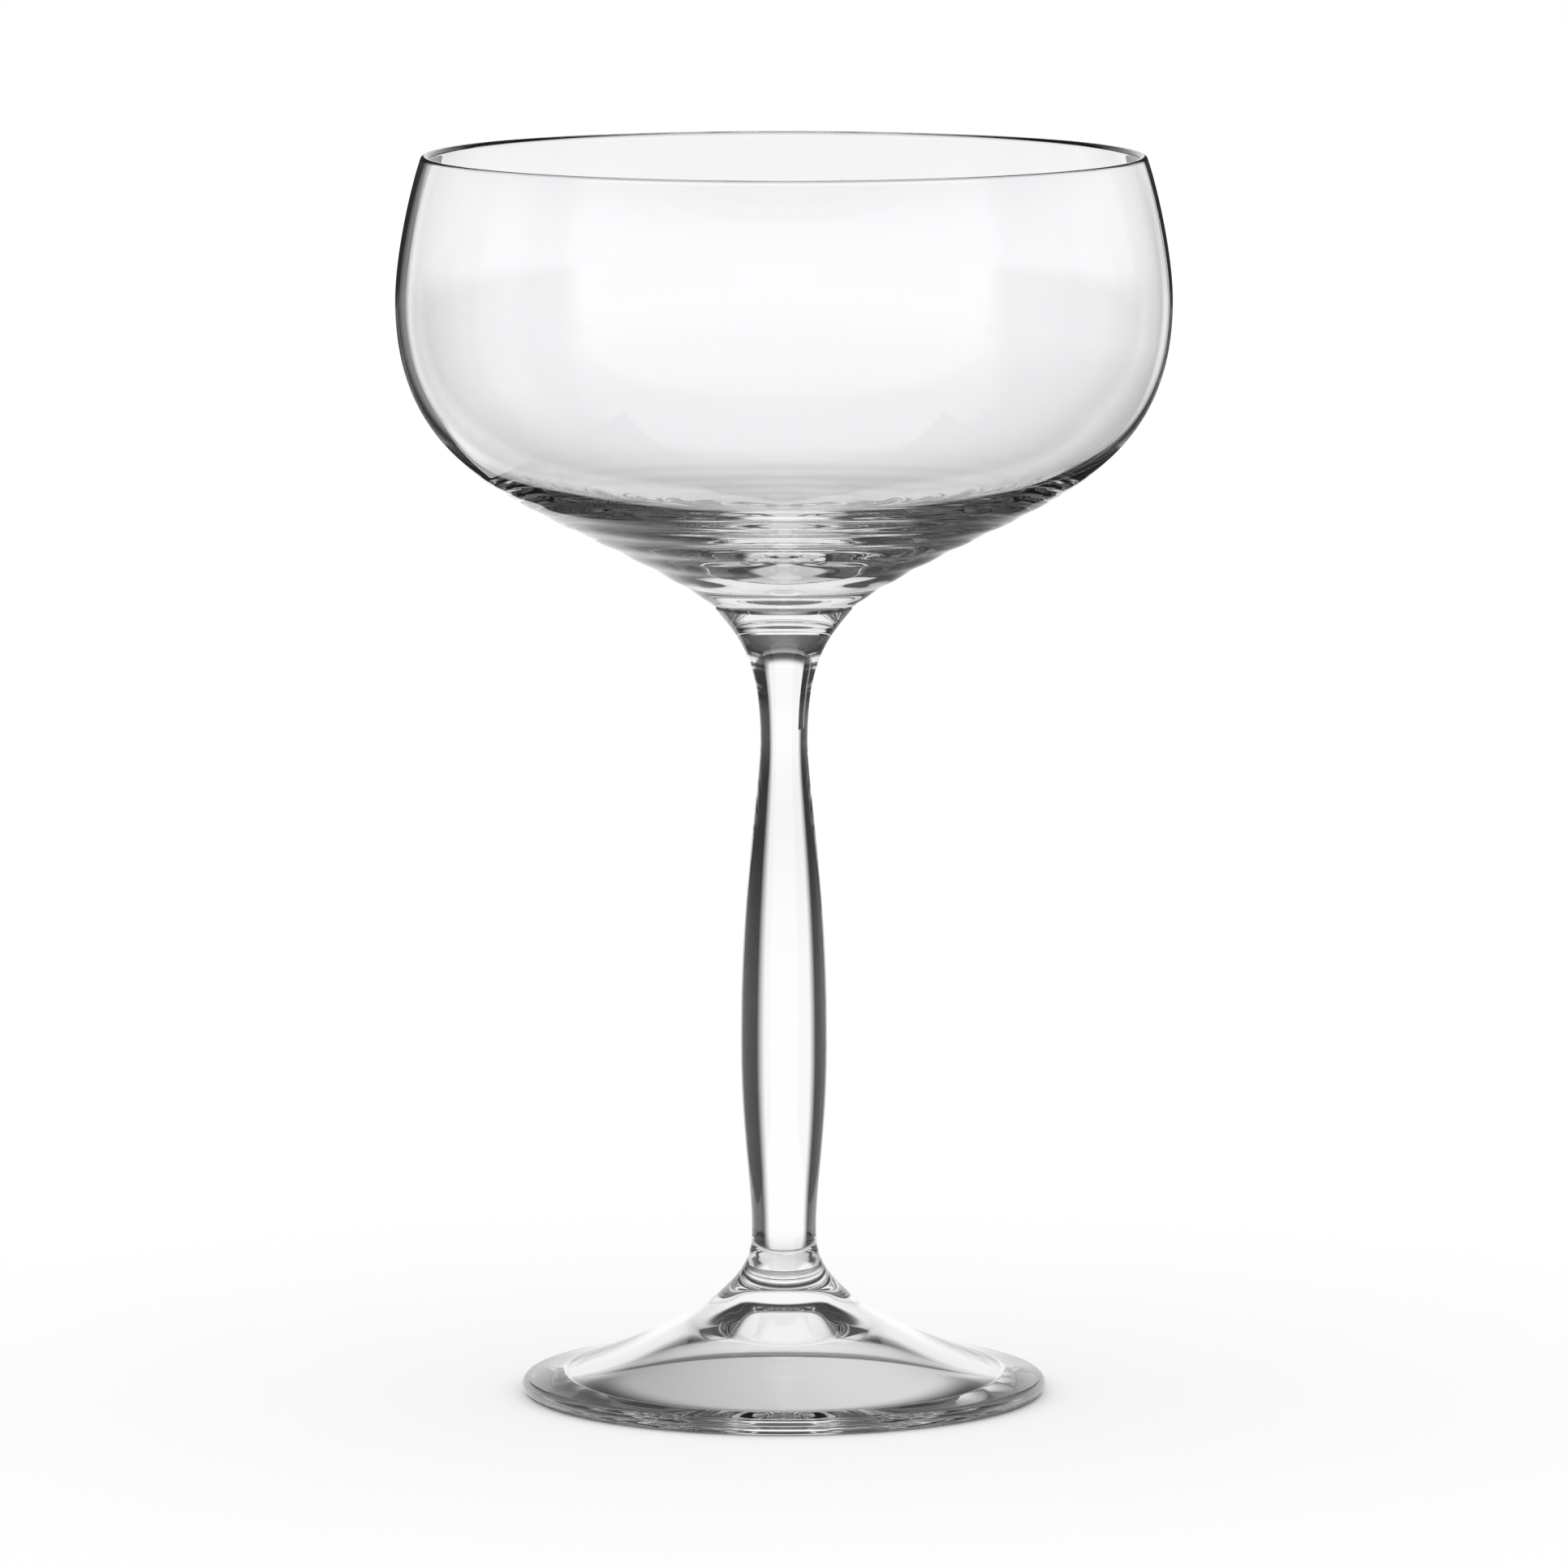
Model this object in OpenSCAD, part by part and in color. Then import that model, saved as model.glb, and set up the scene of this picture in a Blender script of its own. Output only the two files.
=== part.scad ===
// Coupe glass: a wide, shallow bowl fused to a waisted stem, which is fused to a round foot.
// The foot stands on the XY plane, the origin is at the middle of its underside, and +Z is up.

/* [Foot] */
// Diameter of the foot across its rounded edge
foot_d = 66.8; // [54:0.2:90]
// Height of the foot from the table to the seat of the stem
foot_h = 12.4; // [9:0.1:18]
// Thickness of the foot at its rounded edge
foot_edge_t = 2.1; // [1.2:0.1:4]
// Slope of the foot just outside the seat of the stem, in degrees
foot_shoulder_slope = 44; // [32:1:55]
// Slope of the foot next to its edge, in degrees
foot_edge_slope = 9; // [4:1:14]
// Width of the flat ring that stands on the table
rest_ring_w = 5; // [3:0.1:12]
// Solid glass between the top of the hollow under the foot and the seat of the stem
foot_web_t = 2.5; // [1.5:0.1:5]

/* [Stem] */
// Length of the stem from its seat on the foot to its seat under the bowl
stem_l = 88.5; // [50:0.5:130]
// Diameter of the lower end of the stem, where it is fused to the foot
stem_foot_d = 17; // [13:0.1:22]
// Slope of the stem's lower flare where it meets the foot, in degrees
stem_foot_slope = 44; // [35:1:60]
// Diameter of the ankle, the waist just above the foot
ankle_d = 8.2; // [6:0.1:12]
// Diameter of the swell, the thickest place of the stem's shaft
swell_d = 11; // [9:0.1:16]
// Diameter of the neck, the narrowest place below the bowl
neck_d = 6; // [4.5:0.1:9]
// Diameter of the upper end of the stem, where it is fused to the bowl
stem_bowl_d = 17.4; // [13:0.1:22]
// Slope of the stem's upper flare where it meets its end disc, in degrees
stem_bowl_slope = 53; // [40:1:65]
// Thickness of the upright edge of the disc at the stem's upper end
stem_disc_t = 0.5; // [0.3:0.1:1.5]

/* [Bowl] */
// Height of the bowl from its seat on the stem to the lip
bowl_h = 56.9; // [40:0.1:80]
// Widest diameter of the bowl
bowl_d = 98.1; // [80:0.1:113]
// Outside diameter of the lip
lip_d = 91.7; // [76:0.1:106]
// Inward lean of the wall at the lip, in degrees from upright
lip_lean = 19; // [8:1:26]
// Slope of the bowl's underside where it leaves the stem, in degrees
bowl_base_slope = 34.5; // [26:0.5:40]
// Ledge by which the bowl's underside stands out past the stem's end disc
bowl_ledge = 0.4; // [0.1:0.1:1]
// Wall at the rounded lip
lip_wall = 1.1; // [0.8:0.05:2]
// Wall at the widest place
belly_wall = 1.45; // [1:0.05:2.5]
// Solid glass between the seat and the lowest point of the cavity
bowl_floor_t = 8.2; // [7.4:0.1:16]
// Slope of the cavity's floor at the middle, in degrees
floor_slope = 6.7; // [3:0.1:14]

/* [Hidden] */
// Steps of each curved stretch, and flats of each turned solid
curve_steps = 28;
arc_steps = 12;
$fn = 128;
glass_tint = [0.90, 0.93, 0.94, 0.45];

// Foot outline: pull of the two ends of its top curve, as shares of the way to where their slopes cross
foot_pull_shares = [0.38, 0.5];
// Foot hollow: places as shares of its radius and of its height. The knee is where its flank meets its dome
hollow_rim_pull = [0.751, 0.204];
hollow_knee = [0.39, 0.655];
hollow_dome_pull = [0.226, 1];
// Way of the hollow through the knee, and how far it pulls on the flank and on the dome
hollow_knee_way = [-1, 1.048];
hollow_knee_pulls = [0.145, 0.284];

// Stem outline: heights of the ankle, the swell and the neck, as shares of the stem's length
ankle_share = 0.095;
swell_share = 0.371;
neck_share = 0.803;
// Pull of both ends of each stretch between those places, as shares of the stretch's height
lower_flare_pull_shares = [0.41, 0.53];
lower_shaft_pull_shares = [0.27, 0.49];
upper_shaft_pull_shares = [0.53, 0.16];
upper_flare_pull_shares = [0.67, 0.23];

// Bowl outline: height of the widest place, as a share of the bowl's height
belly_share = 0.679;
// Pull of the ends of the lower outside curve, as shares of its width and of its height
bowl_under_pull_shares = [0.566, 0.643];
// Pull of the ends of the upper curves, as shares of the height from the widest place to the lip
bowl_upper_pull_shares = [0.305, 0.22];
// Pull of the ends of the cavity's lower curve, as shares of its width and of its height
cavity_pull_shares = [0.53, 0.81];

// Radii and heights that the pieces share
foot_r = foot_d / 2;
foot_seat_r = stem_foot_d / 2;
foot_edge_r = foot_edge_t / 2;
hollow_r = foot_r - foot_edge_r - rest_ring_w;
hollow_h = foot_h - foot_web_t;
stem_bowl_r = stem_bowl_d / 2;
bowl_seat_r = stem_bowl_r + bowl_ledge;
bowl_seat_z = foot_h + stem_l;

ankle_h = ankle_share * stem_l;
swell_h = swell_share * stem_l;
neck_h = neck_share * stem_l;
flare_top_h = stem_l - stem_disc_t;

bowl_r = bowl_d / 2;
belly_h = belly_share * bowl_h;
lip_round_r = lip_wall / 2;
lip_centre = [lip_d / 2 - lip_round_r, bowl_h - lip_round_r];
cavity_r = bowl_r - belly_wall;

// A move of a given length, at an angle in degrees up from level
function away(length, angle) = length * [cos(angle), sin(angle)];

// Place at share t of a smooth curve from a to d that sets out towards b and arrives from c
function on_curve(a, b, c, d, t) =
    pow(1 - t, 3) * a + 3 * pow(1 - t, 2) * t * b + 3 * (1 - t) * t * t * c + pow(t, 3) * d;

// The outline points of that curve, without its end, where the next stretch starts
function curve(a, b, c, d) = [for (i = [0 : curve_steps - 1]) on_curve(a, b, c, d, i / curve_steps)];

// The outline points of a circle's arc, without its end
function arc(centre, radius, from, to) =
    [for (i = [0 : arc_steps - 1]) centre + away(radius, from + (to - from) * i / arc_steps)];

// A stretch of the stem that is upright at both ends, between two radii and heights
function shaft(low_r, low_h, high_r, high_h, shares) =
    curve([low_r, low_h],
          [low_r, low_h + shares[0] * (high_h - low_h)],
          [high_r, high_h - shares[1] * (high_h - low_h)],
          [high_r, high_h]);

// Length of the way from p, sloping down, to where it crosses the slope that rises inwards from q
function way_to_crossing(p, p_slope, q, q_slope) =
    ((p[1] - q[1]) - (q[0] - p[0]) * tan(q_slope))
    / (sin(p_slope) - cos(p_slope) * tan(q_slope));

// Upper surface of the foot, from the seat of the stem down to the rounded edge
function foot_top() =
    let (seat = [foot_seat_r, foot_h],
         edge = [foot_r - foot_edge_r, foot_edge_r] + away(foot_edge_r, 90 - foot_edge_slope),
         way = way_to_crossing(seat, foot_shoulder_slope, edge, foot_edge_slope),
         crossing = seat + away(way, -foot_shoulder_slope))
    curve(seat,
          seat + foot_pull_shares[0] * (crossing - seat),
          edge + foot_pull_shares[1] * (crossing - edge),
          edge);

// Place in the hollow under the foot, from its shares of the hollow's radius and height
function in_hollow(shares) = [shares[0] * hollow_r, shares[1] * hollow_h];

// Bell-shaped hollow under the foot: a flank from the resting ring to the knee, and a dome up to the middle
function foot_hollow() =
    concat(
        curve([hollow_r, 0],
              in_hollow(hollow_rim_pull),
              in_hollow(hollow_knee - hollow_knee_pulls[0] * hollow_knee_way),
              in_hollow(hollow_knee)),
        curve(in_hollow(hollow_knee),
              in_hollow(hollow_knee + hollow_knee_pulls[1] * hollow_knee_way),
              in_hollow(hollow_dome_pull),
              [0, hollow_h]));

// Pressed round foot with a rounded edge, a flat resting ring and a tall hollow underside
module foot() {
    color(glass_tint)
    rotate_extrude()
    polygon(concat(
        [[0, foot_h]],
        foot_top(),
        arc([foot_r - foot_edge_r, foot_edge_r], foot_edge_r, 90 - foot_edge_slope, -90),
        [[foot_r - foot_edge_r, 0]],
        foot_hollow(),
        [[0, hollow_h]]));
}

// Lower flare of the stem, from its seat on the foot up to the ankle
function lower_flare() =
    let (seat = [foot_seat_r, 0],
         ankle = [ankle_d / 2, ankle_h])
    curve(seat,
          seat + away(lower_flare_pull_shares[0] * ankle_h, 180 - stem_foot_slope),
          ankle - [0, lower_flare_pull_shares[1] * ankle_h],
          ankle);

// Upper flare of the stem, from the neck up to the disc under the bowl
function upper_flare() =
    let (neck = [neck_d / 2, neck_h],
         top = [stem_bowl_r, flare_top_h],
         rise = flare_top_h - neck_h)
    curve(neck,
          neck + [0, upper_flare_pull_shares[0] * rise],
          top - away(upper_flare_pull_shares[1] * rise, stem_bowl_slope),
          top);

// Solid drawn stem: flared to the foot, waisted, swollen, waisted again and flared to the bowl
module stem() {
    color(glass_tint)
    translate([0, 0, foot_h])
    rotate_extrude()
    polygon(concat(
        [[0, 0]],
        lower_flare(),
        shaft(ankle_d / 2, ankle_h, swell_d / 2, swell_h, lower_shaft_pull_shares),
        shaft(swell_d / 2, swell_h, neck_d / 2, neck_h, upper_shaft_pull_shares),
        upper_flare(),
        [[stem_bowl_r, flare_top_h], [stem_bowl_r, stem_l], [0, stem_l]]));
}

// Outside of the bowl, from its seat up to the lip
function bowl_outside() =
    let (seat = [bowl_seat_r, 0],
         belly = [bowl_r, belly_h],
         lip = lip_centre + away(lip_round_r, lip_lean),
         rise = bowl_h - belly_h)
    concat(
        curve(seat,
              seat + away(bowl_under_pull_shares[0] * (bowl_r - bowl_seat_r), bowl_base_slope),
              belly - [0, bowl_under_pull_shares[1] * belly_h],
              belly),
        curve(belly,
              belly + [0, bowl_upper_pull_shares[0] * rise],
              lip - away(bowl_upper_pull_shares[1] * rise, 90 + lip_lean),
              lip));

// Cavity of the bowl, from the lip down to the middle of its floor
function bowl_cavity() =
    let (lip = lip_centre - away(lip_round_r, lip_lean),
         belly = [cavity_r, belly_h],
         floor_middle = [0, bowl_floor_t],
         rise = bowl_h - belly_h)
    concat(
        curve(lip,
              lip - away(bowl_upper_pull_shares[1] * rise, 90 + lip_lean),
              belly + [0, bowl_upper_pull_shares[0] * rise],
              belly),
        curve(belly,
              belly - [0, cavity_pull_shares[1] * (belly_h - bowl_floor_t)],
              floor_middle + away(cavity_pull_shares[0] * cavity_r, floor_slope),
              floor_middle));

// Blown bowl: a thin wall that runs into a thick base, with a rounded lip
module bowl() {
    color(glass_tint)
    translate([0, 0, bowl_seat_z])
    rotate_extrude()
    polygon(concat(
        [[0, 0]],
        bowl_outside(),
        arc(lip_centre, lip_round_r, lip_lean, 180 + lip_lean),
        bowl_cavity(),
        [[0, bowl_floor_t]]));
}

foot();
stem();
bowl();
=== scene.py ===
import math

import bmesh
import bpy
from bpy.props import FloatProperty, FloatVectorProperty, IntProperty, PointerProperty
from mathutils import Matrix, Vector


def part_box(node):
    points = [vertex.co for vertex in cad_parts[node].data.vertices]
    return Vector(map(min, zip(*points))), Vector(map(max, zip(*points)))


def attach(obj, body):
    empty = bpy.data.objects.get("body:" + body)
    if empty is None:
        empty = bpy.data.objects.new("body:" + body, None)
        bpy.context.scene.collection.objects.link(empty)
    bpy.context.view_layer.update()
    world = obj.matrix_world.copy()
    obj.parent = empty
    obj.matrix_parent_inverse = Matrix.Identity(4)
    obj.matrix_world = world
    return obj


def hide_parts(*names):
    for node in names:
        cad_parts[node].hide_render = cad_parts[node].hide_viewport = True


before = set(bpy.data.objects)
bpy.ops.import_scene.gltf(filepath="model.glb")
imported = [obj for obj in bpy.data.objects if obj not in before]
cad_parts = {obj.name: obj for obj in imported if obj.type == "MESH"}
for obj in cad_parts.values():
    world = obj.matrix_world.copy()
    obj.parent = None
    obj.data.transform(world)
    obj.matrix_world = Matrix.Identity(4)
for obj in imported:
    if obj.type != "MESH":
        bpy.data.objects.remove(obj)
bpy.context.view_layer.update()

bl_info = {
    "name": "Coupe glass",
    "version": (1, 0, 0),
    "blender": (4, 5, 0),
    "location": "3D View > Sidebar > Coupe",
    "description": "Turns a clear coupe glass from its sizes and sets it on a plain studio stage",
    "category": "Add Mesh",
}

MM = 0.001
# How fast the rings on the bowl's underside swell from the first one on, and die away before the last
RING_SWELL, RING_DIE = 3, 4
# Steps of each rounded edge, and how many times finer the bowl's underside is drawn, for its rings
ARC_STEPS, UNDERSIDE_FINER = 16, 6
# A ring of a turned mesh that is nearer to the axis than this is one point
ON_AXIS = 1e-9
SENSOR_WIDTH = 36
# Glass bends and mirrors light many times before it leaves
LIGHT_BOUNCES = 32


def linear(hex_colour):
    """Linear red, green and blue of an sRGB hex colour."""
    shares = [int(hex_colour[i:i + 2], 16) / 255 for i in (1, 3, 5)]
    return tuple(c / 12.92 if c <= 0.04045 else ((c + 0.055) / 1.055) ** 2.4 for c in shares)


def length(name, description, millimetres):
    """A size of the glass, given in millimetres and kept in metres."""
    return FloatProperty(name=name, description=description, default=millimetres * MM, min=0,
                         unit="LENGTH", subtype="DISTANCE", precision=4)


def slope(name, description, degrees):
    """An angle of the glass's outline, given in degrees."""
    return FloatProperty(name=name, description=description, default=math.radians(degrees), subtype="ANGLE")


def share(name, description, value):
    """A share of some stretch, between 0 and 1."""
    return FloatProperty(name=name, description=description, default=value, min=0, max=1, subtype="FACTOR")


def shares(name, description, values):
    """The shares by which the two ends of a curved stretch are pulled."""
    return FloatVectorProperty(name=name, description=description, default=values, size=2, min=0, max=1)


def top_of(node):
    """Height of a node's top in the frame, in millimetres."""
    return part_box(node)[1][2] / MM


def width_of(node):
    """Narrower width of a node's box in the frame, in millimetres."""
    low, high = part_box(node)
    return min(high[0] - low[0], high[1] - low[1]) / MM


class CoupeFoot(bpy.types.PropertyGroup):
    """Sizes of the foot."""
    across: length("Across", "Diameter over the rounded edge", width_of("foot"))
    height: length("Height", "Height of the seat of the stem over the table", top_of("foot"))
    seat: length("Seat", "Diameter of the seat of the stem", 17.0)
    edge: length("Edge", "Thickness at the rounded edge", 2.1)
    shoulder_slope: slope("Shoulder slope", "Slope just outside the seat", 44)
    edge_slope: slope("Edge slope", "Slope next to the edge", 9)
    top_pull: shares("Top pull", "Pull of both ends of the upper curve", (0.38, 0.5))
    ring: length("Resting ring", "Width of the flat ring that stands on the table", 5.0)
    web: length("Web", "Solid glass between the top of the hollow and the seat", 2.5)
    rim_pull: shares("Rim pull", "Place that the hollow sets out towards from the ring", (0.751, 0.204))
    knee: shares("Knee", "Place where the hollow's flank meets its dome", (0.39, 0.655))
    knee_rise: FloatProperty(name="Knee rise", description="Rise of the hollow's way in through the knee",
                             default=1.048)
    knee_pulls: shares("Knee pulls", "Pull of that way on the flank and on the dome", (0.145, 0.284))
    dome_pull: shares("Dome pull", "Place that the hollow comes to its middle from", (0.226, 1.0))


class CoupeStem(bpy.types.PropertyGroup):
    """Sizes of the stem."""
    low: length("Low end", "Height of the seat on the foot", top_of("foot"))
    high: length("High end", "Height of the seat under the bowl", top_of("stem"))
    foot_end: length("Foot end", "Diameter where it is fused to the foot", 17.0)
    ankle: length("Ankle", "Diameter of the waist just above the foot", 8.2)
    swell: length("Swell", "Diameter of the thickest place of the shaft", 11.0)
    neck: length("Neck", "Diameter of the narrowest place below the bowl", 6.0)
    bowl_end: length("Bowl end", "Diameter of the disc under the bowl", 17.4)
    disc: length("Disc", "Thickness of the upright edge of that disc", 0.5)
    foot_slope: slope("Foot slope", "Slope of the lower flare where it meets the foot", 44)
    bowl_slope: slope("Bowl slope", "Slope of the upper flare where it meets the disc", 53)
    ankle_share: share("Ankle height", "Height of the ankle along the stem", 0.095)
    swell_share: share("Swell height", "Height of the swell along the stem", 0.371)
    neck_share: share("Neck height", "Height of the neck along the stem", 0.803)
    lower_flare_pull: shares("Lower flare pull", "Pull of both ends of the lower flare", (0.41, 0.53))
    lower_shaft_pull: shares("Lower shaft pull", "Pull of both ends of the lower shaft", (0.27, 0.49))
    upper_shaft_pull: shares("Upper shaft pull", "Pull of both ends of the upper shaft", (0.53, 0.16))
    upper_flare_pull: shares("Upper flare pull", "Pull of both ends of the upper flare", (0.67, 0.23))


class CoupeBowl(bpy.types.PropertyGroup):
    """Sizes of the bowl."""
    low: length("Low end", "Height of the seat on the stem", top_of("stem"))
    high: length("Lip", "Height of the lip", top_of("bowl"))
    across: length("Across", "Widest diameter", width_of("bowl"))
    lip_across: length("Lip across", "Outside diameter of the lip", 91.7)
    seat: length("Seat", "Diameter of the disc of the stem that it sits on", 17.4)
    ledge: length("Ledge", "Ledge by which the underside stands out past the stem's disc", 0.4)
    lip_wall: length("Lip wall", "Wall at the rounded lip", 1.1)
    belly_wall: length("Belly wall", "Wall at the widest place", 1.45)
    floor: length("Floor", "Solid glass between the seat and the cavity", 8.2)
    lip_lean: slope("Lip lean", "Inward lean of the wall at the lip", 19)
    base_slope: slope("Base slope", "Slope of the underside where it leaves the stem", 34.5)
    floor_slope: slope("Floor slope", "Slope of the cavity's floor at the middle", 6.7)
    belly_share: share("Belly height", "Height of the widest place along the bowl", 0.679)
    under_pull: shares("Underside pull", "Pull of both ends of the lower outside curve", (0.566, 0.643))
    upper_pull: shares("Upper pull", "Pull of both ends of the upper curves", (0.305, 0.22))
    cavity_pull: shares("Cavity pull", "Pull of both ends of the cavity's lower curve", (0.53, 0.81))
    ripple: length("Ripple", "Depth of the rings left on the underside by the turning of the hot glass", 0.14)
    ripple_pitch: length("Ripple pitch", "Height from one of those rings to the next", 2.47)
    ripple_count: FloatProperty(name="Ripple count", description="Rings before they have died away",
                                default=6)
    ripple_start: share("Ripple start", "Share of a ring at which they begin", 0.15)
    ripple_round: FloatProperty(name="Ripple round", description="2 for round grooves, more for narrow ones",
                                default=2.0)


class CoupeGlass(bpy.types.PropertyGroup):
    """Finish of the glass and fineness of its meshes."""
    ior: FloatProperty(name="IOR", description="Index of refraction of clear crystalline glass", default=1.52)
    curve_steps: IntProperty(name="Curve steps", description="Steps of each curved stretch", default=48)
    turn_steps: IntProperty(name="Turn steps", description="Steps around each turned piece", default=256)
    crease: slope("Crease", "Angle above which an edge of the outline stays sharp", 25)


class CoupeStage(bpy.types.PropertyGroup):
    """Camera, floor, flags and cards."""
    camera_distance: FloatProperty(name="Distance", description="From the camera to the point it looks at",
                                   default=1.475, unit="LENGTH")
    camera_height: slope("Elevation", "How far the camera looks down", 7.05)
    aim: length("Aim", "Height of the point on the axis that the camera looks at", 77.95)
    lens: FloatProperty(name="Lens", description="Focal length", default=266.98, unit="CAMERA")
    flag_edge: length("Flag edge", "How far from the axis the flags begin", 52)
    flag_behind: length("Flag behind", "How far behind the glass the flags stand", 105)
    flag_top: length("Flag top", "Height of the top of the flags", 230)
    left_flag_wide: length("Left flag width", "Width of the left flag", 60)
    left_flag_low: length("Left flag low", "Height of the low edge of the left flag", 75)
    right_flag_wide: length("Right flag width", "Width of the right flag", 30)
    right_flag_low: length("Right flag low", "Height of the low edge of the right flag", 50)
    card_away: length("Card distance", "How far from the axis the black cards beside the stem stand", 45)
    card_half: length("Card half width", "How far the cards reach in front of and behind the stem", 60)
    card_low: length("Card low", "Height of the low edge of the cards", 14)
    card_top: length("Card top", "Height of the top of the cards", 105)
    floor_gap: length("Floor gap", "Thin air between the resting ring and the table", 0.05)
    # Painted light and shade on the table inside the foot, seen only through the glass: a pool of light, the
    # shade round it and a contact shadow along the resting ring, all set by position, not gathered by the
    # glass
    painted_pool_glow: share("Under glow", "Light that the glass gathers on the table inside the foot", 0.9)
    painted_pool_shade: share("Under shade", "Light left on the table round that pool", 0.06)
    pool_wide: length("Pool width", "Half width of the pool of light on the table inside the foot", 22.5)
    pool_deep: length("Pool depth", "Half depth of that pool, from the glass's middle to the front", 28.5)
    contact: length("Contact", "Radius at which the shadow along the resting ring begins", 25.0)
    floor_side: FloatProperty(name="Floor", description="Side of the square floor", default=6.0,
                              unit="LENGTH")


def away(distance, angle):
    """A move in the outline's plane, at an angle up from level."""
    return Vector((distance * math.cos(angle), distance * math.sin(angle)))


def curve(a, b, c, d, finer=1):
    """Points of a smooth curve from a to d that sets out towards b and arrives from c, without its end."""
    steps = finer * bpy.context.scene.coupe_glass.curve_steps
    points = []
    for i in range(steps):
        t = i / steps
        s = 1 - t
        points.append(s ** 3 * a + 3 * s * s * t * b + 3 * s * t * t * c + t ** 3 * d)
    return points


def arc(centre, radius, start, end):
    """Points of a circle's arc, without its end."""
    return [centre + away(radius, start + (end - start) * i / ARC_STEPS) for i in range(ARC_STEPS)]


def shaft(low, high, pull):
    """A stretch of the stem that is upright at both ends."""
    rise = high.y - low.y
    return curve(low, low + Vector((0, pull[0] * rise)), high - Vector((0, pull[1] * rise)), high)


def foot_outline(size):
    """Outline of the foot, from its seat over the edge to the middle of its underside."""
    radius, edge_r = size.across / 2, size.edge / 2
    seat = Vector((size.seat / 2, size.height))
    edge_centre = Vector((radius - edge_r, edge_r))
    edge = edge_centre + away(edge_r, math.pi / 2 - size.edge_slope)
    run, drop = edge.x - seat.x, seat.y - edge.y
    rise = math.tan(size.edge_slope)
    way = (drop - run * rise) / (math.sin(size.shoulder_slope) - math.cos(size.shoulder_slope) * rise)
    crossing = seat + away(way, -size.shoulder_slope)
    hollow = Vector((radius - edge_r - size.ring, size.height - size.web))
    knee, way_in = Vector(size.knee), Vector((-1, size.knee_rise))
    ring, middle = Vector((hollow.x, 0)), Vector((0, hollow.y))
    top = curve(seat, seat.lerp(crossing, size.top_pull[0]), edge.lerp(crossing, size.top_pull[1]), edge)
    rounded = arc(edge_centre, edge_r, math.pi / 2 - size.edge_slope, -math.pi / 2)
    flank = curve(ring, hollow * Vector(size.rim_pull), hollow * (knee - size.knee_pulls[0] * way_in),
                  hollow * knee)
    dome = curve(hollow * knee, hollow * (knee + size.knee_pulls[1] * way_in),
                 hollow * Vector(size.dome_pull), middle)
    return top + rounded + [Vector((edge_centre.x, 0))] + flank + dome + [middle]


def stem_outline(size):
    """Outline of the stem, from its seat on the foot to its seat under the bowl."""
    long = size.high - size.low
    seat = Vector((size.foot_end / 2, size.low))
    ankle = Vector((size.ankle / 2, size.low + size.ankle_share * long))
    swell = Vector((size.swell / 2, size.low + size.swell_share * long))
    neck = Vector((size.neck / 2, size.low + size.neck_share * long))
    disc = Vector((size.bowl_end / 2, size.high - size.disc))
    lower, upper = ankle.y - seat.y, disc.y - neck.y
    lower_flare = curve(seat, seat + away(size.lower_flare_pull[0] * lower, math.pi - size.foot_slope),
                        ankle - Vector((0, size.lower_flare_pull[1] * lower)), ankle)
    upper_flare = curve(neck, neck + Vector((0, size.upper_flare_pull[0] * upper)),
                        disc - away(size.upper_flare_pull[1] * upper, size.bowl_slope), disc)
    return (lower_flare + shaft(ankle, swell, size.lower_shaft_pull)
            + shaft(swell, neck, size.upper_shaft_pull) + upper_flare + [disc, Vector((disc.x, size.high))])


def rippled(points, size):
    """The underside's points, sunk into the shallow rings that are left by the turning of the hot glass."""
    sunk = [points[0]]
    for before, point, after in zip(points, points[1:], points[2:]):
        rings = (point.y - points[0].y) / size.ripple_pitch
        reach = rings / size.ripple_count
        along = after - before
        out = Vector((along.y, -along.x)).normalized()
        wave = 1 - abs(math.sin(math.pi * (rings + size.ripple_start))) ** size.ripple_round
        strength = max(0, min(1, rings * RING_SWELL, (1 - reach) * RING_DIE))
        sunk.append(point - out * size.ripple * strength * wave)
    return sunk + points[-1:]


def bowl_outline(size):
    """Outline of the bowl, from its seat up the outside, over the lip and down to the cavity's floor."""
    height = size.high - size.low
    lip_r = size.lip_wall / 2
    seat = Vector((size.seat / 2, size.low))
    ledge = seat + Vector((size.ledge, 0))
    belly = Vector((size.across / 2, size.low + size.belly_share * height))
    lip_centre = Vector((size.lip_across / 2 - lip_r, size.high - lip_r))
    lip_out = lip_centre + away(lip_r, size.lip_lean)
    lip_in = lip_centre - away(lip_r, size.lip_lean)
    lower, upper = belly.y - size.low, size.high - belly.y
    cavity = Vector((belly.x - size.belly_wall, belly.y))
    floor = Vector((0, size.low + size.floor))
    to_lip = Vector((0, size.upper_pull[0] * upper))
    from_lip = away(size.upper_pull[1] * upper, math.pi / 2 + size.lip_lean)
    underside = curve(ledge, ledge + away(size.under_pull[0] * (belly.x - ledge.x), size.base_slope),
                      belly - Vector((0, size.under_pull[1] * lower)), belly, UNDERSIDE_FINER)
    outside = curve(belly, belly + to_lip, lip_out - from_lip, lip_out)
    lip = arc(lip_centre, lip_r, size.lip_lean, math.pi + size.lip_lean)
    inside = curve(lip_in, lip_in - from_lip, cavity + to_lip, cavity)
    hollow = curve(cavity, cavity - Vector((0, size.cavity_pull[1] * (cavity.y - floor.y))),
                   floor + away(size.cavity_pull[0] * cavity.x, size.floor_slope), floor)
    return [seat] + rippled(underside, size) + outside + lip + inside + hollow + [floor]


def add_node(tree, kind, inputs=(), **settings):
    """A node with its settings; each input is a value, or another node's socket to link from."""
    node = tree.nodes.new(kind)
    for name, value in settings.items():
        setattr(node, name, value)
    for name, value in dict(inputs).items():
        if isinstance(value, bpy.types.NodeSocket):
            tree.links.new(value, node.inputs[name])
        else:
            node.inputs[name].default_value = value
    return node


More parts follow.
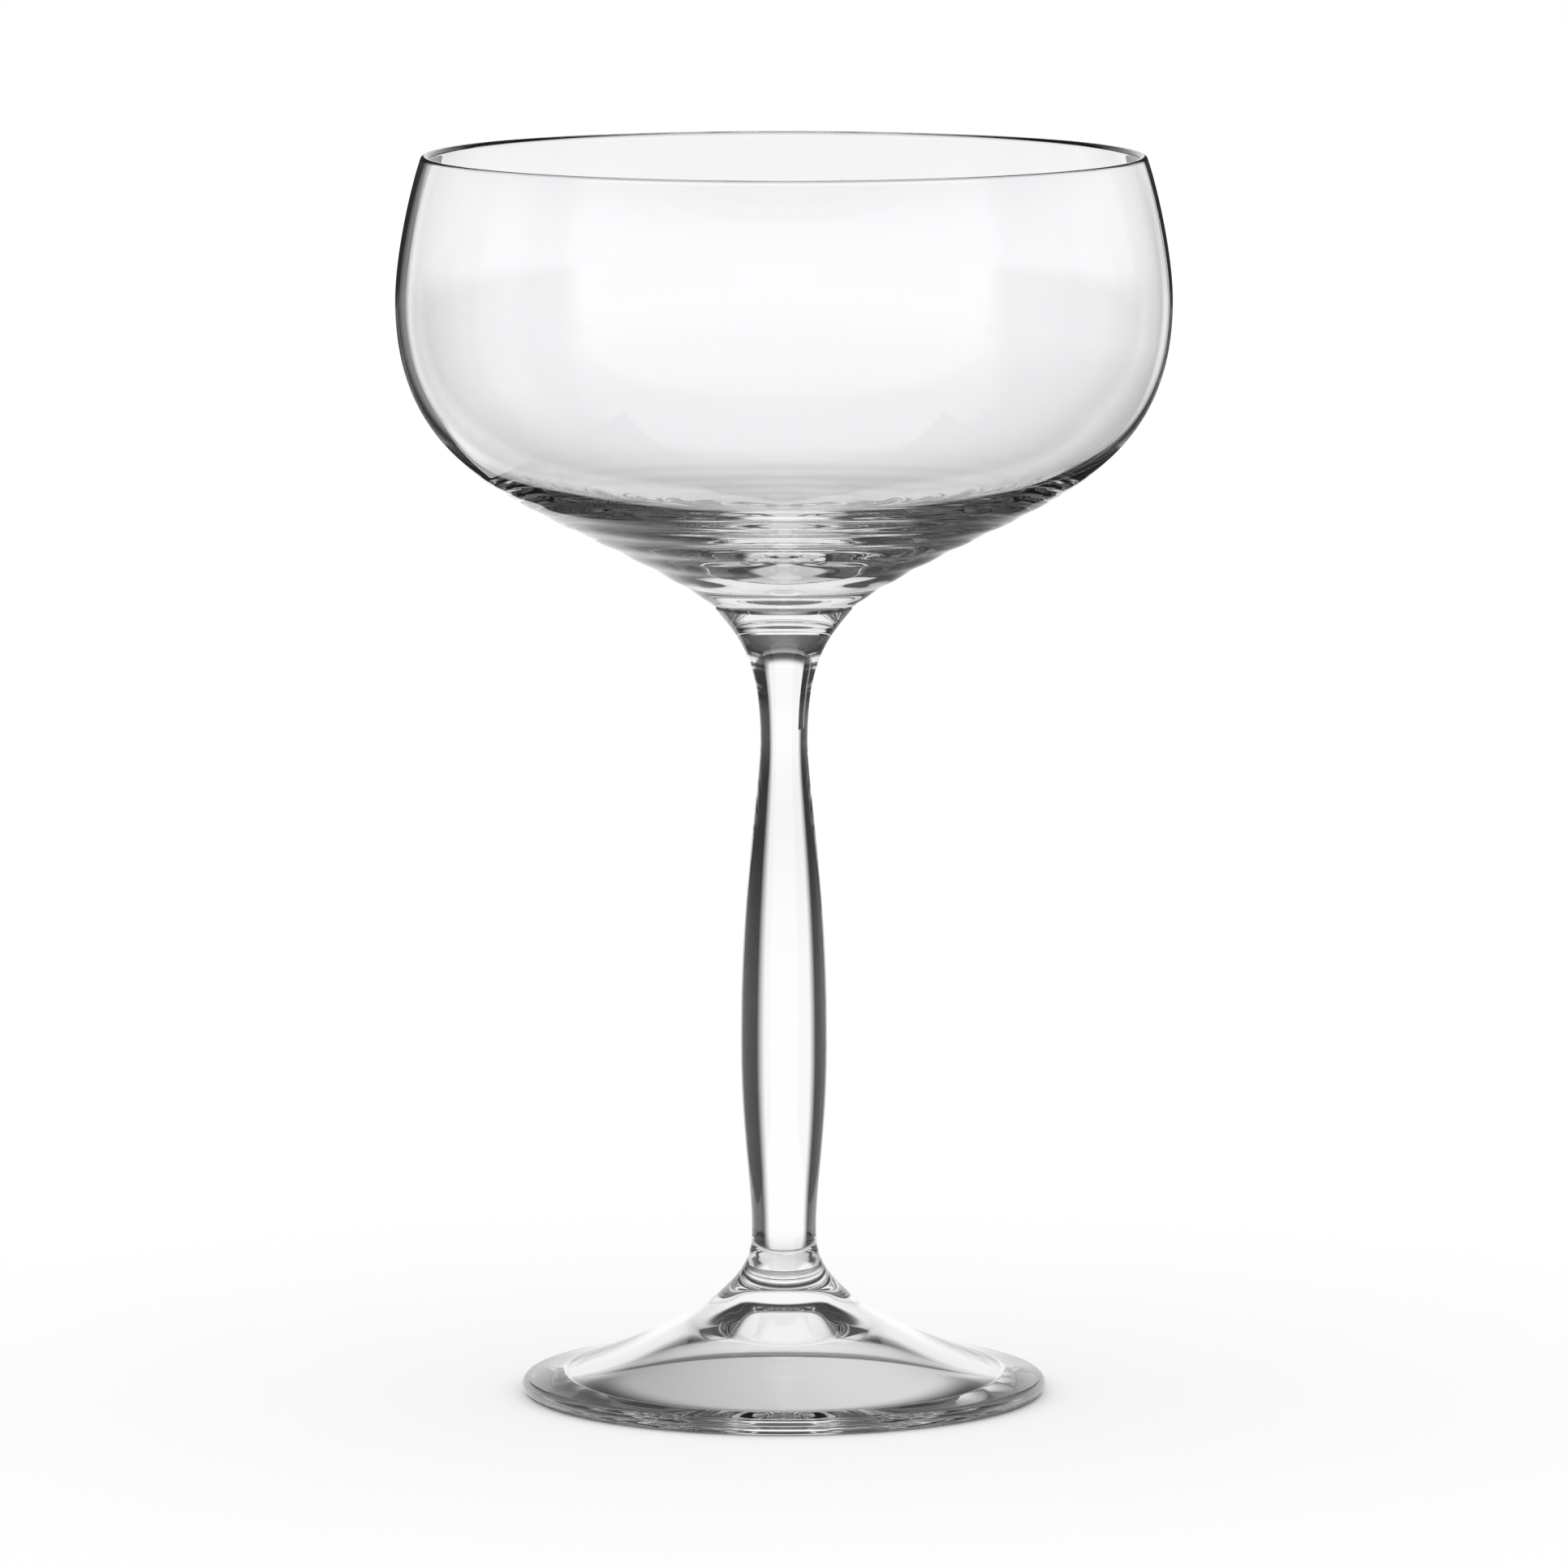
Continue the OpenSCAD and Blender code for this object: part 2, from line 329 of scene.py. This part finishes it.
def new_material(name):
    """An empty material, and its tree."""
    material = bpy.data.materials.new(name)
    material.use_nodes = True
    material.node_tree.nodes.clear()
    return material, material.node_tree


def clear_fire_polished_glass():
    """Soda-lime crystalline glass, drawn and fire-polished: to the eye it has no colour of its own and a
    smooth skin with sharp reflections, and its form shows by what it bends."""
    name = "clear_fire_polished_glass"
    if name in bpy.data.materials:
        return bpy.data.materials[name]
    material, tree = new_material(name)
    glass = add_node(tree, "ShaderNodeBsdfPrincipled", {
        "Base Color": (*linear("#FEFEFF"), 1),
        "Roughness": 0.0,
        "IOR": bpy.context.scene.coupe_glass.ior,
        "Transmission Weight": 1.0,
    })
    add_node(tree, "ShaderNodeOutputMaterial", {"Surface": glass.outputs["BSDF"]})
    return material


def fused_glass_seat():
    """Hot-fused joint: no air between the two pieces, so light goes straight on."""
    name = "fused_glass_seat"
    if name in bpy.data.materials:
        return bpy.data.materials[name]
    material, tree = new_material(name)
    clear = add_node(tree, "ShaderNodeBsdfTransparent")
    add_node(tree, "ShaderNodeOutputMaterial", {"Surface": clear.outputs["BSDF"]})
    return material


def ring_of(mesh, point, steps):
    """The vertices of one ring of a turned mesh, or the one on the axis."""
    if point.x < ON_AXIS:
        return [mesh.verts.new((0, 0, point.y))]
    turn = 2 * math.pi / steps
    return [mesh.verts.new((point.x * math.cos(turn * i), point.x * math.sin(turn * i), point.y))
            for i in range(steps)]


def turned_piece(node, outline, seats):
    """A closed solid turned about Z from an outline, with a flat fused seat at each of the given ends."""
    look = bpy.context.scene.coupe_glass
    mesh = bmesh.new()
    rings = [ring_of(mesh, point, look.turn_steps) for point in outline]
    for lower, upper in zip(rings, rings[1:]):
        for i in range(look.turn_steps):
            j = (i + 1) % look.turn_steps
            far = (upper[j], upper[i]) if len(upper) > 1 else (upper[0],)
            mesh.faces.new((lower[i], lower[j], *far)).smooth = True
    for end in seats:
        middle = mesh.verts.new((0, 0, outline[end].y))
        for i in range(look.turn_steps):
            j = (i + 1) % look.turn_steps
            mesh.faces.new((rings[end][i], rings[end][j], middle)).material_index = 1
    bmesh.ops.recalc_face_normals(mesh, faces=mesh.faces)
    data = bpy.data.meshes.new(node + "_glass")
    mesh.to_mesh(data)
    mesh.free()
    data.materials.append(clear_fire_polished_glass())
    data.materials.append(fused_glass_seat())
    data.set_sharp_from_angle(angle=look.crease)
    piece = bpy.data.objects.new(node + "_glass", data)
    bpy.context.scene.collection.objects.link(piece)
    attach(piece, "root")
    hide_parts(node)
    return piece


class COUPE_OT_foot(bpy.types.Operator):
    """Turn the solid foot with its hollow underside"""
    bl_idname = "coupe.foot"
    bl_label = "Foot"

    def execute(self, context):
        turned_piece("foot", foot_outline(context.scene.coupe_foot), (0,))
        return {"FINISHED"}


class COUPE_OT_stem(bpy.types.Operator):
    """Turn the waisted solid stem"""
    bl_idname = "coupe.stem"
    bl_label = "Stem"

    def execute(self, context):
        turned_piece("stem", stem_outline(context.scene.coupe_stem), (0, -1))
        return {"FINISHED"}


class COUPE_OT_bowl(bpy.types.Operator):
    """Turn the bowl with its thin wall and thick base"""
    bl_idname = "coupe.bowl"
    bl_label = "Bowl"

    def execute(self, context):
        turned_piece("bowl", bowl_outline(context.scene.coupe_bowl), (0,))
        return {"FINISHED"}


# Brightness of the studio all round, by degrees from straight behind the glass, with the right positive: a
# white panel behind the glass, dark sides with a grey strip on each, and a white front
ROUND = (
    (-180, 1.0), (-114, 1.0), (-108, 0.06), (-102, 0.15), (-82, 0.15), (-78, 0.05), (-53, 0.06),
    (-50, 0.035), (-36, 0.035), (-27, 1.0), (19, 1.0), (29, 0.035), (52, 0.035), (78, 0.05), (82, 0.15),
    (102, 0.15), (108, 0.06), (114, 1.0), (180, 1.0),
)
# The same for what the surface mirrors: a pale room with a softbox on each side
MIRRORED = ((-180, 1.0), (-97, 1.0), (-93, 1.4), (-79, 1.4), (-75, 1.0), (50, 1.0), (54, 1.4), (78, 1.4),
            (82, 1.0), (180, 1.0))
# Share of that by degrees up, left and right: the mirrored room is dark overhead and low down, and on the
# right it darkens sooner going down
MIRRORED_LEFT = ((-90, 0.0), (-50, 0.05), (-35, 0.5), (-25, 1.0), (12, 1.0), (20, 0.4), (28, 0.05), (40, 0.0),
                 (90, 0.0))
MIRRORED_RIGHT = ((-90, 0.0), (-35, 0.0), (-25, 0.1), (-15, 0.5), (-9, 1.0), (12, 1.0), (20, 0.4), (28, 0.05),
                  (90, 0.0))
# Where the white panel behind the glass reaches, by degrees round
PANEL = ((-180, 0), (-30, 0), (-24, 1), (17, 1), (24, 0), (180, 0))
# Share of the round pattern by degrees up: of the panel, and of the rest of the room
PANEL_SHARE = ((-90, 0.75), (-60, 0.7), (-50, 0.6), (-40, 0.6), (-30, 0.75), (-20, 0.9), (-12, 1.0),
               (17, 1.0), (19.5, 0.85), (21, 0.55), (22.5, 0.25), (24.5, 0.06), (27, 0.0), (90, 0.0))
ROOM_SHARE = ((-90, 0.0), (-32, 0.0), (-22, 0.6), (-12, 1.0), (12, 1.0), (20, 0.5), (28, 0.0), (90, 0.0))
# Brightness of the black and the grey felt of the flags, the share of each flag's width that is black, and
# the share over which the black goes into the grey
BLACK_FELT, GREY_FELT = 0.04, 0.27
LEFT_BLACK, RIGHT_BLACK = 0.55, 1.0
FELT_SEAM = 0.1
# Brightness of the dark room's floor and ceiling, by degrees up
UP = ((-90, 0.1), (-60, 0.08), (-45, 0.06), (0, 0.05), (28, 0.05), (45, 0.06), (60, 0.12), (90, 0.2))
# A ray that has crossed more surfaces than this is taken to have gone through the bowl's near and far wall
THIN_WALL_CROSSINGS = 3.5
# Such a ray sees plain white between two heights: over the first degrees up it comes in, and over the second
# it goes again
WHITE_COMES, WHITE_GOES = (-3, -8), (-20, -32)
# Where the mirrored room goes from left to right, and from its front, which is lit at all heights, to the
# rest, as parts of a direction of length 1
MIDDLE_BLEND, FRONT_BLEND = (-0.05, 0.05), (-0.35, -0.15)
# Painted light and shade on the table inside the foot, set by position
# Soft edge of the pool of light on the table, as shares of the pool
POOL_EDGE = (0.85, 1.12)
# Half the blend to the table's lit rear, and where the contact shadow is full, as shares of its radius
REAR_BLEND, CONTACT_END = 0.3, 1.12
# Shares of the light under the foot that are left in the contact shadow and at the left
CONTACT_LEVEL, LEFT_LEVEL = 0.15, 0.6
# Light that the open table throws back besides what the surround gives it
TABLE_GLOW = 0.14


def brightness_ramp(tree, angle, span, stops):
    """Brightness by an angle in radians, from stops in degrees over plus and minus span."""
    place = add_node(tree, "ShaderNodeMapRange", {
        "Value": angle, "From Min": -math.radians(span), "From Max": math.radians(span)})
    ramp = add_node(tree, "ShaderNodeValToRGB", {"Fac": place.outputs["Result"]})
    elements = ramp.color_ramp.elements
    while len(elements) < len(stops):
        elements.new(0.5)
    for element, (degrees, level) in zip(elements, stops):
        element.position = (degrees + span) / (2 * span)
        element.color = (level, level, level, 1)
    return ramp.outputs["Color"]


def through_thin_wall(tree, path):
    """Socket that is 1 for rays that have gone through the bowl's thin wall."""
    node = add_node(tree, "ShaderNodeMath", {0: path.outputs["Transmission Depth"], 1: THIN_WALL_CROSSINGS},
                    operation="GREATER_THAN")
    return node.outputs[0]


def studio_surround():
    """White studio with dark sides, as clear glass needs to show its edges. It is set for the photograph's
    view: what the glass mirrors, what it bends and what is seen through its thin wall have each their own
    brightness."""
    world = bpy.data.worlds.new("white_studio_with_flags")
    bpy.context.scene.world = world
    world.use_nodes = True
    tree = world.node_tree
    tree.nodes.clear()
    way = add_node(tree, "ShaderNodeTexCoord")
    part = add_node(tree, "ShaderNodeSeparateXYZ", {"Vector": way.outputs["Generated"]})
    azimuth = add_node(tree, "ShaderNodeMath", {0: part.outputs["X"], 1: part.outputs["Y"]},
                       operation="ARCTAN2")
    height = add_node(tree, "ShaderNodeMath", {0: part.outputs["Z"]}, operation="ARCSINE")
    path = add_node(tree, "ShaderNodeLightPath")
    below = add_node(tree, "ShaderNodeMapRange", {
        "Value": height.outputs[0], "From Min": math.radians(WHITE_COMES[0]),
        "From Max": math.radians(WHITE_COMES[1])})
    above_steep = add_node(tree, "ShaderNodeMapRange", {
        "Value": height.outputs[0], "From Min": math.radians(WHITE_GOES[1]),
        "From Max": math.radians(WHITE_GOES[0])}, interpolation_type="SMOOTHSTEP")
    near_level = add_node(tree, "ShaderNodeMath", {
        0: below.outputs["Result"], 1: above_steep.outputs["Result"]}, operation="MULTIPLY")
    through_wall = add_node(tree, "ShaderNodeMath", {
        0: through_thin_wall(tree, path), 1: near_level.outputs[0]}, operation="MULTIPLY")
    around = brightness_ramp(tree, azimuth.outputs[0], 180, ROUND)
    panel = brightness_ramp(tree, azimuth.outputs[0], 180, PANEL)
    clear = add_node(tree, "ShaderNodeMath", {0: panel, 1: through_wall.outputs[0]}, operation="MAXIMUM")
    panel_share = brightness_ramp(tree, height.outputs[0], 90, PANEL_SHARE)
    room_share = brightness_ramp(tree, height.outputs[0], 90, ROOM_SHARE)
    around_share = add_node(tree, "ShaderNodeMix", {"Factor": clear.outputs[0], "A": room_share,
                                                    "B": panel_share})
    above = brightness_ramp(tree, height.outputs[0], 90, UP)
    cleared = add_node(tree, "ShaderNodeMix", {"Factor": through_wall.outputs[0], "A": around, "B": 1.0})
    bent = add_node(tree, "ShaderNodeMix", {"Factor": around_share.outputs["Result"], "A": above,
                                            "B": cleared.outputs["Result"]})
    mirrored = brightness_ramp(tree, azimuth.outputs[0], 180, MIRRORED)
    to_right = add_node(tree, "ShaderNodeMapRange", {
        "Value": part.outputs["X"], "From Min": MIDDLE_BLEND[0], "From Max": MIDDLE_BLEND[1]},
        interpolation_type="SMOOTHSTEP")
    mirrored_share = add_node(tree, "ShaderNodeMix", {
        "Factor": to_right.outputs["Result"],
        "A": brightness_ramp(tree, height.outputs[0], 90, MIRRORED_LEFT),
        "B": brightness_ramp(tree, height.outputs[0], 90, MIRRORED_RIGHT)})
    front_of_room = add_node(tree, "ShaderNodeMapRange", {
        "Value": part.outputs["Y"], "From Min": FRONT_BLEND[0], "From Max": FRONT_BLEND[1],
        "To Min": 1, "To Max": 0}, interpolation_type="SMOOTHSTEP")
    lit_share = add_node(tree, "ShaderNodeMath", {
        0: mirrored_share.outputs["Result"], 1: front_of_room.outputs["Result"]}, operation="MAXIMUM")
    sheen = add_node(tree, "ShaderNodeMix", {"Factor": lit_share.outputs[0], "A": above, "B": mirrored})
    in_glass = add_node(tree, "ShaderNodeMix", {"Factor": path.outputs["Is Transmission Ray"],
                                                "A": sheen.outputs["Result"], "B": bent.outputs["Result"]})
    seen = add_node(tree, "ShaderNodeMix", {"Factor": path.outputs["Is Glossy Ray"],
                                            "A": 1.0, "B": in_glass.outputs["Result"]})
    back = add_node(tree, "ShaderNodeBackground", {"Color": (1, 1, 1, 1), "Strength": seen.outputs["Result"]})
    add_node(tree, "ShaderNodeOutputWorld", {"Surface": back.outputs["Background"]})


def pale_matt_floor():
    """Pale matt board, painted: an even white to the eye. Inside the foot it carries a painted pool of light,
    set by position in place of light gathered by the glass, and painted shade round it, which the camera sees
    only through the glass; elsewhere glass looks through it to the surround."""
    stage = bpy.context.scene.coupe_stage
    material, tree = new_material("pale_matt_floor")
    path = add_node(tree, "ShaderNodeLightPath")
    place = add_node(tree, "ShaderNodeTexCoord")
    radius = add_node(tree, "ShaderNodeVectorMath", {0: place.outputs["Object"]}, operation="LENGTH")
    foot_r = bpy.context.scene.coupe_foot.across / 2
    under = add_node(tree, "ShaderNodeMath", {0: radius.outputs["Value"], 1: foot_r}, operation="LESS_THAN")
    part = add_node(tree, "ShaderNodeSeparateXYZ", {"Vector": place.outputs["Object"]})
    spread = add_node(tree, "ShaderNodeVectorMath", {
        0: place.outputs["Object"], 1: (1 / stage.pool_wide, 1 / stage.pool_deep, 0)}, operation="MULTIPLY")
    reach = add_node(tree, "ShaderNodeVectorMath", {0: spread.outputs["Vector"]}, operation="LENGTH")
    # Painted pool of light on the table inside the foot, oval and soft-edged
    pool = add_node(tree, "ShaderNodeMapRange", {
        "Value": reach.outputs["Value"], "From Min": POOL_EDGE[0], "From Max": POOL_EDGE[1],
        "To Min": 1, "To Max": 0}, interpolation_type="SMOOTHSTEP")
    # Painted light on the table's rear half, behind the glass's middle
    rear = add_node(tree, "ShaderNodeMapRange", {
        "Value": part.outputs["Y"], "From Min": -REAR_BLEND * stage.contact,
        "From Max": REAR_BLEND * stage.contact}, interpolation_type="SMOOTHSTEP")
    lit_share = add_node(tree, "ShaderNodeMath", {0: pool.outputs["Result"], 1: rear.outputs["Result"]},
                         operation="MAXIMUM")
    # Painted contact shadow along the resting ring
    contact = add_node(tree, "ShaderNodeMapRange", {
        "Value": radius.outputs["Value"], "From Min": stage.contact, "From Max": CONTACT_END * stage.contact,
        "To Min": 1, "To Max": CONTACT_LEVEL}, interpolation_type="SMOOTHSTEP")
    # Painted shade: the pool is darker to the left than to the right
    from_right = add_node(tree, "ShaderNodeMapRange", {
        "Value": part.outputs["X"], "From Min": -stage.contact, "From Max": stage.contact,
        "To Min": LEFT_LEVEL, "To Max": 1}, interpolation_type="SMOOTHSTEP")
    painted_pool_share = add_node(tree, "ShaderNodeMath", {0: lit_share.outputs[0], 1: contact.outputs["Result"]},
                              operation="MULTIPLY")
    painted_pool_level = add_node(tree, "ShaderNodeMath", {
        0: painted_pool_share.outputs[0], 1: from_right.outputs["Result"]}, operation="MULTIPLY")
    level = add_node(tree, "ShaderNodeMapRange", {
        "Value": painted_pool_level.outputs[0], "To Min": stage.painted_pool_shade, "To Max": stage.painted_pool_glow})
    matt = add_node(tree, "ShaderNodeBsdfDiffuse", {"Color": (*linear("#F2F2F2"), 1)})
    lit = add_node(tree, "ShaderNodeEmission", {"Strength": TABLE_GLOW})
    open_table = add_node(tree, "ShaderNodeAddShader", {0: matt.outputs[0], 1: lit.outputs[0]})
    # The painted pool of light and shade glows for rays that are not the camera's, under the foot
    painted_pool_light = add_node(tree, "ShaderNodeEmission", {"Strength": level.outputs["Result"]})
    pale = add_node(tree, "ShaderNodeMixShader", {
        "Fac": path.outputs["Is Camera Ray"], 1: painted_pool_light.outputs[0], 2: open_table.outputs[0]})
    solid = add_node(tree, "ShaderNodeMath", {0: path.outputs["Is Camera Ray"], 1: under.outputs[0]},
                     operation="MAXIMUM")
    clear = add_node(tree, "ShaderNodeBsdfTransparent")
    seen = add_node(tree, "ShaderNodeMixShader", {"Fac": solid.outputs[0], 1: clear.outputs[0],
                                                  2: pale.outputs[0]})
    add_node(tree, "ShaderNodeOutputMaterial", {"Surface": seen.outputs[0]})
    return material


def black_felt_flag(name, black_share):
    """Pressed wool felt, black on its side towards the glass and grey beyond: a flat dark to the eye. The
    bowl's wall shows it as a dark edge with a grey inner line, and what is seen through the thin wall is left
    bright."""
    material, tree = new_material(name)
    place = add_node(tree, "ShaderNodeTexCoord")
    part = add_node(tree, "ShaderNodeSeparateXYZ", {"Vector": place.outputs["Object"]})
    seam = 0.5 - black_share
    level = add_node(tree, "ShaderNodeMapRange", {
        "Value": part.outputs["X"], "From Min": seam, "From Max": seam - FELT_SEAM,
        "To Min": BLACK_FELT, "To Max": GREY_FELT}, interpolation_type="SMOOTHSTEP")
    path = add_node(tree, "ShaderNodeLightPath")
    felt = add_node(tree, "ShaderNodeEmission", {"Strength": level.outputs["Result"]})
    clear = add_node(tree, "ShaderNodeBsdfTransparent")
    seen = add_node(tree, "ShaderNodeMixShader", {"Fac": through_thin_wall(tree, path), 1: felt.outputs[0],
                                                  2: clear.outputs[0]})
    add_node(tree, "ShaderNodeOutputMaterial", {"Surface": seen.outputs[0]})
    return material


def black_felt_card():
    """Pressed black wool felt on both sides of a card: a flat dark to the eye. Only what the glass mirrors
    shows it, so that the sides of the stem are dark bands."""
    material, tree = new_material("black_felt_card")
    path = add_node(tree, "ShaderNodeLightPath")
    felt = add_node(tree, "ShaderNodeEmission", {"Strength": BLACK_FELT})
    clear = add_node(tree, "ShaderNodeBsdfTransparent")
    seen = add_node(tree, "ShaderNodeMixShader", {
        "Fac": path.outputs["Is Reflection Ray"], 1: clear.outputs[0], 2: felt.outputs[0]})
    add_node(tree, "ShaderNodeOutputMaterial", {"Surface": seen.outputs[0]})
    return material


def add_screen(name, wide, tall, turn, place, felt):
    """An upright felt-covered screen; only the glass sees it."""
    bpy.ops.mesh.primitive_plane_add(size=1)
    screen = bpy.context.active_object
    screen.name = name
    screen.scale = (wide, tall, 1)
    screen.rotation_euler = turn
    screen.location = place
    screen.visible_camera = False
    screen.visible_diffuse = False
    screen.visible_shadow = False
    screen.data.materials.append(felt)


def add_flag(name, side, wide, low, black_share):
    """A flag behind the glass, on the left or the right."""
    stage = bpy.context.scene.coupe_stage
    place = (side * (stage.flag_edge + wide / 2), stage.flag_behind, (low + stage.flag_top) / 2)
    felt = black_felt_flag(name + "_felt", black_share)
    add_screen(name, wide, stage.flag_top - low, (math.pi / 2, 0, 0), place, felt)


def add_card(name, side, felt):
    """A card beside the stem, on the left or the right."""
    stage = bpy.context.scene.coupe_stage
    place = (side * stage.card_away, 0, (stage.card_low + stage.card_top) / 2)
    add_screen(name, stage.card_top - stage.card_low, 2 * stage.card_half, (0, math.pi / 2, 0), place, felt)


class COUPE_OT_stage(bpy.types.Operator):
    """Set up the pale floor, the studio surround with its flags and cards, and the camera"""
    bl_idname = "coupe.stage"
    bl_label = "Stage"

    def execute(self, context):
        scene = context.scene
        stage = scene.coupe_stage
        studio_surround()
        bpy.ops.mesh.primitive_plane_add(size=stage.floor_side)
        floor = context.active_object
        floor.name = "floor"
        floor.location.z = -stage.floor_gap
        floor.data.materials.append(pale_matt_floor())
        add_flag("left_flag", -1, stage.left_flag_wide, stage.left_flag_low, LEFT_BLACK)
        add_flag("right_flag", 1, stage.right_flag_wide, stage.right_flag_low, RIGHT_BLACK)
        felt = black_felt_card()
        add_card("left_card", -1, felt)
        add_card("right_card", 1, felt)
        data = bpy.data.cameras.new("camera")
        data.lens = stage.lens
        data.sensor_width = SENSOR_WIDTH
        camera = bpy.data.objects.new("camera", data)
        scene.collection.objects.link(camera)
        back = Vector((0, -math.cos(stage.camera_height), math.sin(stage.camera_height)))
        camera.location = Vector((0, 0, stage.aim)) + stage.camera_distance * back
        camera.rotation_mode = "QUATERNION"
        camera.rotation_quaternion = (-back).to_track_quat("-Z", "Y")
        scene.camera = camera
        scene.view_settings.view_transform = "Standard"
        for kind in ("max_bounces", "transmission_bounces", "glossy_bounces", "transparent_max_bounces"):
            setattr(scene.cycles, kind, LIGHT_BOUNCES)
        return {"FINISHED"}


class COUPE_PT_panel(bpy.types.Panel):
    """Buttons and sizes of the coupe glass"""
    bl_idname = "COUPE_PT_panel"
    bl_label = "Coupe glass"
    bl_space_type = "VIEW_3D"
    bl_region_type = "UI"
    bl_category = "Coupe"

    def draw(self, context):
        for operator in OPERATORS:
            self.layout.operator(operator.bl_idname)
        for name, group in GROUPS.items():
            box = self.layout.box()
            box.label(text=group.__doc__)
            for prop in group.__annotations__:
                box.prop(getattr(context.scene, name), prop)


GROUPS = {
    "coupe_foot": CoupeFoot,
    "coupe_stem": CoupeStem,
    "coupe_bowl": CoupeBowl,
    "coupe_glass": CoupeGlass,
    "coupe_stage": CoupeStage,
}
OPERATORS = (COUPE_OT_foot, COUPE_OT_stem, COUPE_OT_bowl, COUPE_OT_stage)


def register():
    for cls in (*GROUPS.values(), *OPERATORS, COUPE_PT_panel):
        bpy.utils.register_class(cls)
    for name, group in GROUPS.items():
        setattr(bpy.types.Scene, name, PointerProperty(type=group))


def unregister():
    for name in GROUPS:
        delattr(bpy.types.Scene, name)
    for cls in reversed((*GROUPS.values(), *OPERATORS, COUPE_PT_panel)):
        bpy.utils.unregister_class(cls)


def main():
    register()
    bpy.ops.coupe.foot()
    bpy.ops.coupe.stem()
    bpy.ops.coupe.bowl()
    bpy.ops.coupe.stage()


if __name__ == "__main__":
    main()
